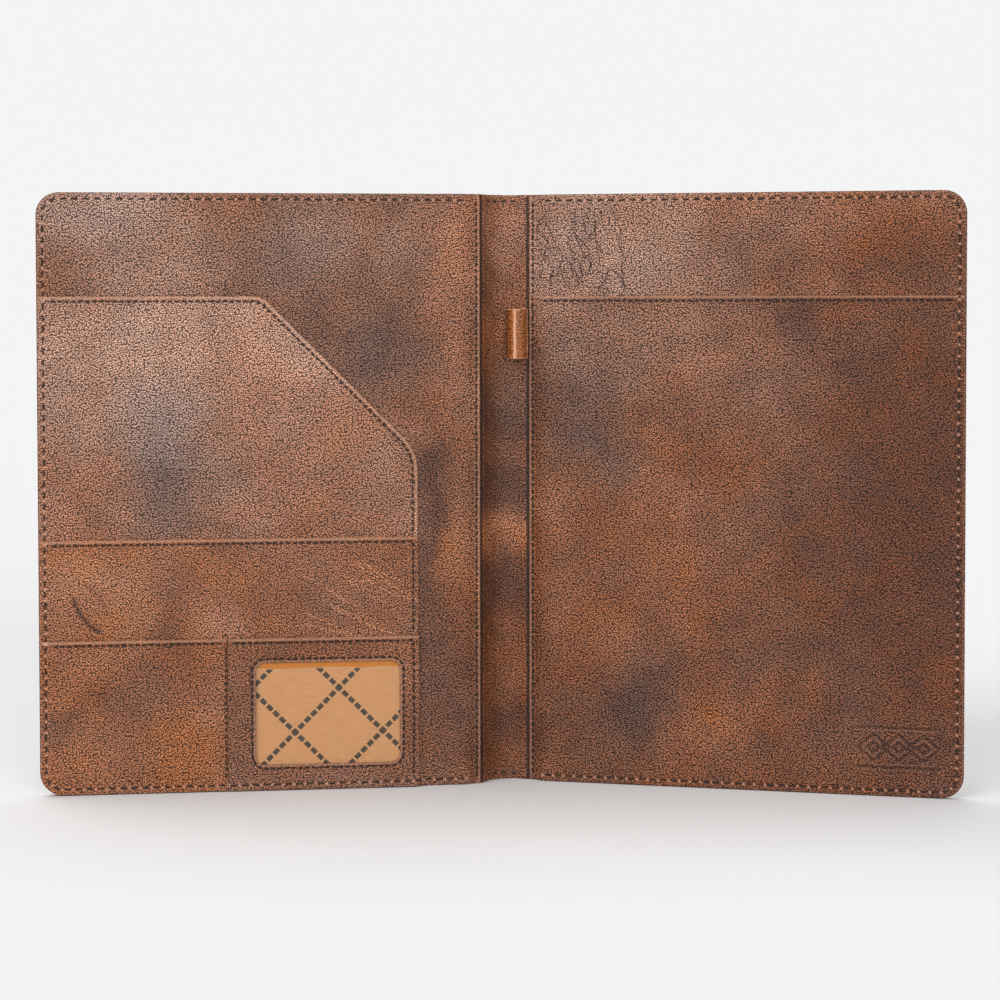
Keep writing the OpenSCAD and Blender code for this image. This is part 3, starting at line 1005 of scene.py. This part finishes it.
def window_sheet(name, low_n, high_n, swell, material, slot_name, node):
    """A thin sheet behind the window opening, a little wavy."""
    sheet = Panel(window_outline(film_lap), level(high_n), level(low_n), edge_r=0.1,
                  seed=SHEET_SEED, swell=swell)
    made = sheet.build(name, FRONT.place, material, patches(), coarse=2.5)
    return ride_on(made, "front_cover", slot_name, node)


cloth = window_sheet("window_cloth", cloth_low[1], cloth_high[1] - 0.12, 0.2, CLOTH,
                     "cloth", "id_cloth")
window_sheet("window_film", film_low[1] + 0.05, film_high[1] - 0.08, 0.15, FILM,
             "clear_film", "id_window")

# ---- Back cover ----


def diamond(x, z, wide, high):
    return rounded([(x - wide, z, 0), (x, z - high, 0), (x + wide, z, 0), (x, z + high, 0)])


def pressed_ornament(points):
    """Distance from the lines of a small blind-pressed ornament: linked diamonds between
    two bars."""
    centre_x, centre_z = width - 34, 26
    lines = [diamond(centre_x + 13 * i, centre_z, 8.5, 7) for i in (-1, 0, 1)]
    lines += [diamond(centre_x + 13 * i, centre_z, 3.2, 2.6) for i in (-1, 0, 1)]
    lines += [straight((centre_x - 22, centre_z + dz), (centre_x + 22, centre_z + dz))
              for dz in (-10.5, 10.5)]
    return np.min([distance(points, line) for line in lines], axis=0)


ornament_area = lattice((width - 60, 12), (width - 8, 40), 0.75)

# The creases on the back lining are dented and painted darker along their lines: painted shade in the folds.
back_lining = Panel(
    cover_outline(edge_step, hinge_x), lining_face, lining_back,
    beads=[(left_edge(hinge_x, edge_step, height - edge_step), 1.4, 0.25)],
    rows=[edge_row, seam_row], seed=8, swell=0.35,
    marks=strokes((5, mouth_z + 4), (54, height - 7), 40, 3, crease, (-0.15, 0.15), 0.38,
                  (-0.4, -1.2), 0.28),
    hidden=lambda p: p[:, 1] < mouth_z - 10)
pad_pocket = Panel(
    cover_outline(edge_step, hinge_x, mouth_z), pad_face, pad_back,
    beads=[(straight((hinge_x, mouth_z), (free, mouth_z)), hem_w * 0.8, hem_t),
           (left_edge(hinge_x, edge_step, mouth_z), 1.4, 0.25)],
    rows=[pad_row, seam_row, edge_row], seed=9, swell=0.6,
    extra=ornament_area, press=pressed_ornament)
BACK_PANELS = [back_lining, pad_pocket]

header_tint = patches(
    (30, 290, 60, 40, 0.25, -0.7), (90, 300, 40, 24, 0.0, -0.2), (60, 272, 50, 14, -0.1, -0.3),
    (125, 280, 34, 30, -0.35, 0.1), (215, 284, 60, 40, -0.6, 0.6))
pad_tint = patches(
    (9, 262, 20, 14, 0.5, -0.5), (50, 245, 60, 30, 0.35, -0.6), (120, 225, 40, 50, 0.1, -0.2),
    (28, 205, 22, 34, -0.2, -0.4), (45, 175, 20, 20, -0.2, -0.5), (9, 150, 14, 22, 0.55, -0.1),
    (80, 160, 50, 40, 0.25, 0.0), (50, 98, 40, 30, 0.25, 0.1), (72, 52, 24, 20, -0.28, -0.2),
    (55, 36, 18, 16, -0.28, -0.1), (100, 38, 26, 18, 0.45, 0.2), (215, 140, 50, 140, -0.35, 0.5),
    (145, 250, 14, 16, -0.2, 0.0))

line_cover(BACK, back_lining, "back_lining", leather("leather_right_lining", light=0.3),
           header_tint)
line_cover(BACK, pad_pocket, "pad_pocket", leather("leather_pad_pocket", light=-0.2, heat=0.35),
           pad_tint)

# ---- Outer leather ----


def upright(at, low, high, count):
    """Upright rows of points, one at each x."""
    return np.concatenate([np.column_stack((np.full(count, x), np.linspace(low, high, count)))
                           for x in at])


def bend_over(made, bend):
    """Bakes into its mesh the placement of a piece that lies between a cover and the spine."""
    tuple(bend[0])
    tuple(bend[1])
    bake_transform(made)


def around_spine(cover):
    """Turns a cover's x into the distance s along the spine's line."""
    return lambda x: cover.side * (SPINE.arc + x)


class Skin(Panel):
    """Half of the outer leather. Its first face is the outside, which the reader's side
    backs with a rim that closes around the board."""

    def relief(self, points):
        gap = self.free_gap(points)
        round_r = 0.5 + 1.1 * ease((points[:, 0] - 6) / 6)
        calm = ease(gap / 14)
        rise = edge_drop(gap, round_r)
        rise += ripple(points[:, 0], points[:, 1], self.seed, self.swell) * calm
        wear_and_painted_light = 0.6 * (1 - ease(gap / 2.2))
        for row in self.rows:
            deep, valley = row.dent(points), row.valley(points)
            rise += 0.34 * deep + 0.2 * valley
            # Stitch dents and their groove are painted darker: painted shade.
            wear_and_painted_light = wear_and_painted_light - 0.8 * deep - 0.25 * valley
        return rise, np.clip(wear_and_painted_light, -1, 1)

    def free_gap(self, points):
        """Distance from the free edges, not from the cut at the middle of the spine."""
        return distance(points, self.outline[:-1])

    def build_bottom(self, at):
        x = at[:, 0]
        gap = self.free_gap(at)
        rim = 1 - ease((gap - rim_w + 0.2) / 0.2)
        rim = rim * ease((x - board_low[0] + 0.2) / 0.2)
        inner = skin_half + (board_top - skin_half) * rim
        return inner - edge_drop(gap, 0.4)

    def back_points(self, low, high):
        rim = beside(self.outline[:-1], (0.12, 0.4, 1, 3, rim_w - 0.25, rim_w + 0.05, 9), 4)
        at = (*np.arange(-SPINE.arc + 1, 8.8, 1.0), 8.75, 9.05)
        points = np.concatenate([rim, lattice(low, high, 14), upright(at, 1.5, height - 1.5, 80)])
        points = points[self.contains(points)]
        return thinned(points[self.gap(points) > 0.08], 0.15)


def skin(cover, name, *nodes):
    """Half of the outer leather, and the two ends of its bend."""
    outline = rounded([(-SPINE.arc, 0, 0), (width, 0, corner_r), (width, height, corner_r),
                       (-SPINE.arc, height, 0)])
    columns = upright(np.arange(-SPINE.arc + 0.9, 16, 0.9), 1, height - 1, 110)
    half = Skin(outline, level(-skin_half), None, rows=[edge_row], seed=11, swell=0.12,
                extra=columns, across=around_spine(cover))
    half.bottom = half.build_bottom
    made = half.build(name, place_skin(cover), OUTER, outer_tint)
    bend = place_skin(cover)(np.array((0.9, -5.0)), np.zeros(2), np.full(2, height / 2)) * MM
    bend_over(made, bend)
    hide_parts(*nodes)
    return half, bend


OUTER = leather("leather_outer", cell=1.15, heat=0.1)
outer_tint = patches(
    (-80, 240, 60, 50, -0.35, 0.0), (-190, 80, 60, 60, -0.25, 0.2), (-195, 250, 50, 50, 0.15, 0.3),
    (-90, 90, 50, 60, 0.1, 0.4), (65, 90, 60, 60, -0.3, 0.0), (175, 230, 70, 50, -0.25, 0.3),
    (185, 60, 50, 50, 0.2, 0.2))
front_skin, front_bend = skin(FRONT, "outer_leather_front", "front_leather", "spine_leather")
back_skin, back_bend = skin(BACK, "outer_leather_back", "back_leather")

# ---- Spine strip ----


def strip_half(cover, bend, tint, name, *nodes):
    """Half of the strip that lines the spine, from its middle to the hinge axis."""
    low, high = edge_step, height - edge_step
    outline = box(-SPINE.arc, low, 0.5, high)
    free_sides = outline[:-1]

    def top(x):
        return skin_half + 0.85 - 0.55 * ease((x + 4) / 4)

    columns = upright(np.arange(-SPINE.arc + 0.8, 0.3, 0.8), 1, height - 1, 140)

    class Strip(Panel):
        def gap(self, points):
            return distance(points, free_sides)

        def relief(self, points):
            """Painted shadow: dark where the strip dives under the cover's lining, beside its rolled edge."""
            rise, wear_and_painted_light = super().relief(points)
            return rise, np.clip(wear_and_painted_light - 1.4 * ease((points[:, 0] + 1.6) / 2), -1, 1)

    half = Strip(outline, top, level(skin_half + 0.04), seed=13, swell=0.0, edge_r=0.22,
                 extra=columns, across=around_spine(cover))
    made = half.build(name, place_skin(cover), STRIP, tint)
    bend_over(made, bend)
    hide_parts(*nodes)


STRIP = leather("leather_spine_strip", light=-0.05, heat=0.3)
strip_spots = (
    (300, 20, 0.35, -0.4), (250, 18, 0.4, -0.1), (205, 24, -0.35, -0.2), (160, 14, -0.4, -0.2),
    (137, 12, 0.55, 0.0), (103, 18, -0.5, 0.1), (65, 20, -0.05, 0.3), (28, 18, -0.45, 0.2))
strip_tint = patches(*[(0, z, 40, high, light, heat) for z, high, light, heat in strip_spots])
strip_half(FRONT, front_bend, strip_tint, "spine_strip_front", "spine_lining")
strip_half(BACK, back_bend, strip_tint, "spine_strip_back")

# ---- Stitches ----


def stitch_shape(length, wide, high):
    """One stitch: points (along, across, up) of a short bowed thread, and its faces."""
    rings, sides = 7, 8
    points, faces = [], []
    for i in range(rings):
        t = -1 + 2 * (i + 0.5) / rings
        swell = math.sqrt(1 - abs(t) ** 3)
        bow = high * 0.7 * (1 - t * t) - high * 0.5
        for k in range(sides):
            angle = 2 * math.pi * k / sides
            points.append((t * length / 2, wide / 2 * swell * math.cos(angle),
                           bow + high / 2 * swell * math.sin(angle)))
    for i in range(rings - 1):
        for k in range(sides):
            a, b = i * sides + k, i * sides + (k + 1) % sides
            faces.append((a, b, b + sides, a + sides))
    faces.append(tuple(range(sides)))
    faces.append(tuple(range((rings - 1) * sides, rings * sides)))
    return np.array(points), faces


def sew(name, place, rows, under, wide=0.62, high=0.5, fill=0.66):
    """Makes all the stitches of some rows. under gives the height of the leather."""
    points, faces = [], []
    for row in rows:
        shape, shape_faces = stitch_shape(row.pitch * fill, wide, high)
        base = under(row.points)
        for centre, heading, n in zip(row.points, row.headings, base):
            across = np.array((-heading[1], heading[0]))
            flat = centre + np.outer(shape[:, 0], heading) + np.outer(shape[:, 1], across)
            first = len(points) * len(shape)
            points.append((flat[:, 0], n + shape[:, 2], flat[:, 1]))
            faces += [tuple(first + i for i in face) for face in shape_faces]
    x, n, z = (np.concatenate([p[i] for p in points]) for i in range(3))
    return make_object(name, place(x, n, z), faces, THREAD, 80)


def top_of(panels):
    """Height of the topmost of some panels at each point."""
    def under(points):
        heights = [np.where(p.contains(points), p.height(points), -99) for p in panels]
        return np.max(heights, axis=0) + 0.1
    return under


def outside_of(half):
    """Both faces are sewn through, so the same row shows on the outer leather."""
    return lambda points: half.height(points) - 0.1


def sewn(name, base, rows, under, *nodes, **settings):
    """Sews rows on a cover or on the spine, in place of CAD nodes."""
    made = sew(name, base.place, rows, under, **settings)
    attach(made, base.body)
    if nodes:
        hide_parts(*nodes)


COARSE = {"wide": 0.95, "high": 0.7}


def sew_cover(side, cover, half, panels, pockets):
    """The edge seam on both faces of a cover, the seam beside the hinge and the rows on its
    pockets. pockets holds each row's name, the rows and the panels that they go through."""
    sewn(side + "_edge_thread", cover, [edge_row], top_of(panels), side + "_edge_stitches",
         **COARSE)
    sewn(side + "_outside_thread", cover, [edge_row], outside_of(half), **COARSE)
    sewn(side + "_seam_thread", cover, [seam_row], top_of(panels), side + "_seam_stitches")
    for name, rows, through in pockets:
        sewn(name + "_thread", cover, rows, top_of(through), name + "_stitches")


bar_tack = Row(straight((divider_x - 1.2, card_z + 1.6), (divider_x + 4.4, card_z + 1.6)), 6)
sew_cover("front", FRONT, front_skin, FRONT_PANELS, (
    ("document", [document_row], [document_pocket]),
    ("middle", middle_rows, [middle_pocket]),
    ("card", [*sleeve_rows, card_row], [card_pocket, id_pocket]),
    ("window", [window_row], [id_pocket]),
    ("divider", [divider_row, bar_tack], [middle_pocket, card_pocket, id_pocket])))
sew_cover("back", BACK, back_skin, BACK_PANELS, [("pad", [pad_row], [pad_pocket])])
strip_reach = SPINE.arc - 5.5
spine_rows = [Row(straight((-strip_reach, z), (strip_reach, z)), edge_pitch)
              for z in (edge_inset, height - edge_inset)]
sewn("spine_thread", SPINE, spine_rows, level(skin_half + 0.95), "spine_stitches", wide=0.95)

# ---- Pen loop ----

bore = next(m for m in frame["record"]["mounts"] if m["name"] == "pen_bore")
bore_r = bore["dims"]["r_mm"]
loop_centre = np.array(bore["pos_m"][:2]) / MM
loop_low, loop_high = (v.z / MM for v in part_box("pen_loop"))
loop_wall = 0.9


def pen_loop():
    """The tube for the pen: a rolled strip with soft, worn rims and a painted highlight, a pale, brighter line
    down the front of the tube a little to the left."""
    outer_r = bore_r + loop_wall
    sides, soft = 72, 0.35
    middle_r = (bore_r + outer_r) / 2
    half_t = loop_wall / 2
    # The side of the tube where the painted highlight runs, a little left of the front.
    highlight_angle = math.radians(256)

    def rim(z, start):
        """The rounded end of the wall, from one face to the other."""
        angles = [start + math.pi * k / 8 for k in range(1, 8)]
        return [(middle_r + half_t * math.cos(a), z + soft * math.sin(a)) for a in angles]

    bottom, top = loop_low + soft, loop_high - soft
    profile = [(outer_r, z) for z in np.linspace(bottom, top, 26)]
    profile += rim(top, 0)
    profile += [(bore_r, z) for z in np.linspace(top, bottom, 14)]
    profile += rim(bottom, math.pi)
    points, flats, tints, faces = [], [], [], []
    for i in range(sides):
        angle = 2 * math.pi * i / sides
        around = np.array((math.cos(angle), math.sin(angle)))
        for r, z in profile:
            points.append((*(loop_centre + r * around), z))
            flats.append((angle * outer_r * MM, z * MM, r * MM))
            near_rim = min(z - loop_low, loop_high - z)
            if r > middle_r:
                # Painted highlight: a pale, brighter line down the tube at that side.
                painted_highlight = math.exp(-((angle - highlight_angle) / 0.17) ** 2)
                wear_and_painted_light = max(0.8 * (1 - near_rim / 0.9), 0.9 * painted_highlight)
                tints.append((1.1 * painted_highlight, -0.4 * painted_highlight, wear_and_painted_light))
            else:
                tints.append((0.0, 0.0, -0.4))
    count = len(profile)
    for i in range(sides):
        for k in range(count):
            j, m = (i + 1) % sides, (k + 1) % count
            faces.append((i * count + k, j * count + k, j * count + m, i * count + m))
    return points, flats, tints, faces


def touch_s():
    """Where along the spine's line the loop touches it."""
    return SPINE.s[np.argmin(np.linalg.norm(SPINE.line - loop_centre, axis=1))]


LOOP = leather("leather_pen_loop", cell=0.9, roughness=0.3, polish=0.8, light=0.35, heat=0.9)
points, flats, tints, faces = pen_loop()
loop = make_object("pen_loop_tube", points, faces, LOOP)
store(loop, "flat", flats)
store(loop, "tint", tints)
ride_on(loop, "spine", "loop_leather", "pen_loop")
flap_from, flap_to = touch_s() - SPINE.arc, 0.4
flap = Panel(box(flap_from, loop_low, flap_to, loop_high), level(skin_half + 1.55),
             level(skin_half + 0.8), seed=14, swell=0.0)
flap = flap.build("pen_loop_flap", place_skin(BACK), LOOP, patches(), coarse=1.5)
bend_over(flap, back_bend)

# ---- Boards ----

for node in ("front_board", "back_board"):
    frame["nodes"][node].data.materials[0] = BOARD

# ---- Stage, light and camera ----

def grey(value):
    return (value, value, value, 1)


def stage():
    """A round pale floor that reaches the horizon."""
    ring = 96
    points = [(0, 0, 0)]
    for radius in (0.3, 1, 3, 12):
        points += [(radius * math.cos(2 * math.pi * k / ring),
                    radius * math.sin(2 * math.pi * k / ring), 0) for k in range(ring)]
    faces = [(0, 1 + k, 1 + (k + 1) % ring) for k in range(ring)]
    for i in range(3):
        for k in range(ring):
            a, b = 1 + i * ring + k, 1 + i * ring + (k + 1) % ring
            faces.append((a, a + ring, b + ring, b))
    s = Shader("pale_floor")
    speckle = s.noise(s.position(), 60, 2)
    paper = s.mix(s.times(speckle, 0.02), grey(FLOOR), grey(FLOOR * 0.8))
    floor = make_object("floor", np.array(points) / MM, faces, s.finish(
        Base_Color=paper, Roughness=0.9, Specular_IOR_Level=0.0))


def sun(name, direction, strength, spread):
    """A soft far light that shines along a direction."""
    data = bpy.data.lights.new(name, "SUN")
    data.energy = strength
    data.angle = math.radians(spread)
    lamp = bpy.data.objects.new(name, data)
    lamp.rotation_euler = Vector(direction).to_track_quat("-Z", "Y").to_euler()
    bpy.context.scene.collection.objects.link(lamp)


AMBIENT = 0.36
BACKDROP = 0.905
FLOOR = 0.79
stage()
world = bpy.data.worlds.new("studio")
world.use_nodes = True
bpy.context.scene.world = world
nodes, links = world.node_tree.nodes, world.node_tree.links
seen = nodes.new("ShaderNodeBackground")
seen.inputs["Color"].default_value = (BACKDROP, BACKDROP, BACKDROP * 1.005, 1)
cast = nodes["Background"]
cast.inputs["Color"].default_value = (AMBIENT, AMBIENT, AMBIENT, 1)
choose = nodes.new("ShaderNodeMixShader")
links.new(nodes.new("ShaderNodeLightPath").outputs["Is Camera Ray"], choose.inputs[0])
links.new(cast.outputs[0], choose.inputs[1])
links.new(seen.outputs[0], choose.inputs[2])
links.new(choose.outputs[0], nodes["World Output"].inputs["Surface"])

sun("sheen_light", (-0.30, 0.93, -0.25), 1.3, 20)
sun("key_light", (0.50, 0.75, -0.65), 1.3, 35)
sun("top_light", (0.25, -0.30, -1.0), 1.5, 50)

# The camera stands in front at about the height of the pocket mouths and looks slightly down
look_down = math.radians(2.55)
roll = math.radians(0.08)
camera_data = bpy.data.cameras.new("camera")
camera_data.lens = 102.6
camera_data.sensor_width = 36
camera_data.shift_y = -0.0732
camera = bpy.data.objects.new("camera", camera_data)
camera.location = (0.00036, -1.5136, 0.2613)
camera.rotation_euler = Euler((math.radians(90) - look_down, roll, 0))
bpy.context.scene.collection.objects.link(camera)
bpy.context.scene.camera = camera
bpy.context.scene.view_settings.view_transform = "Standard"
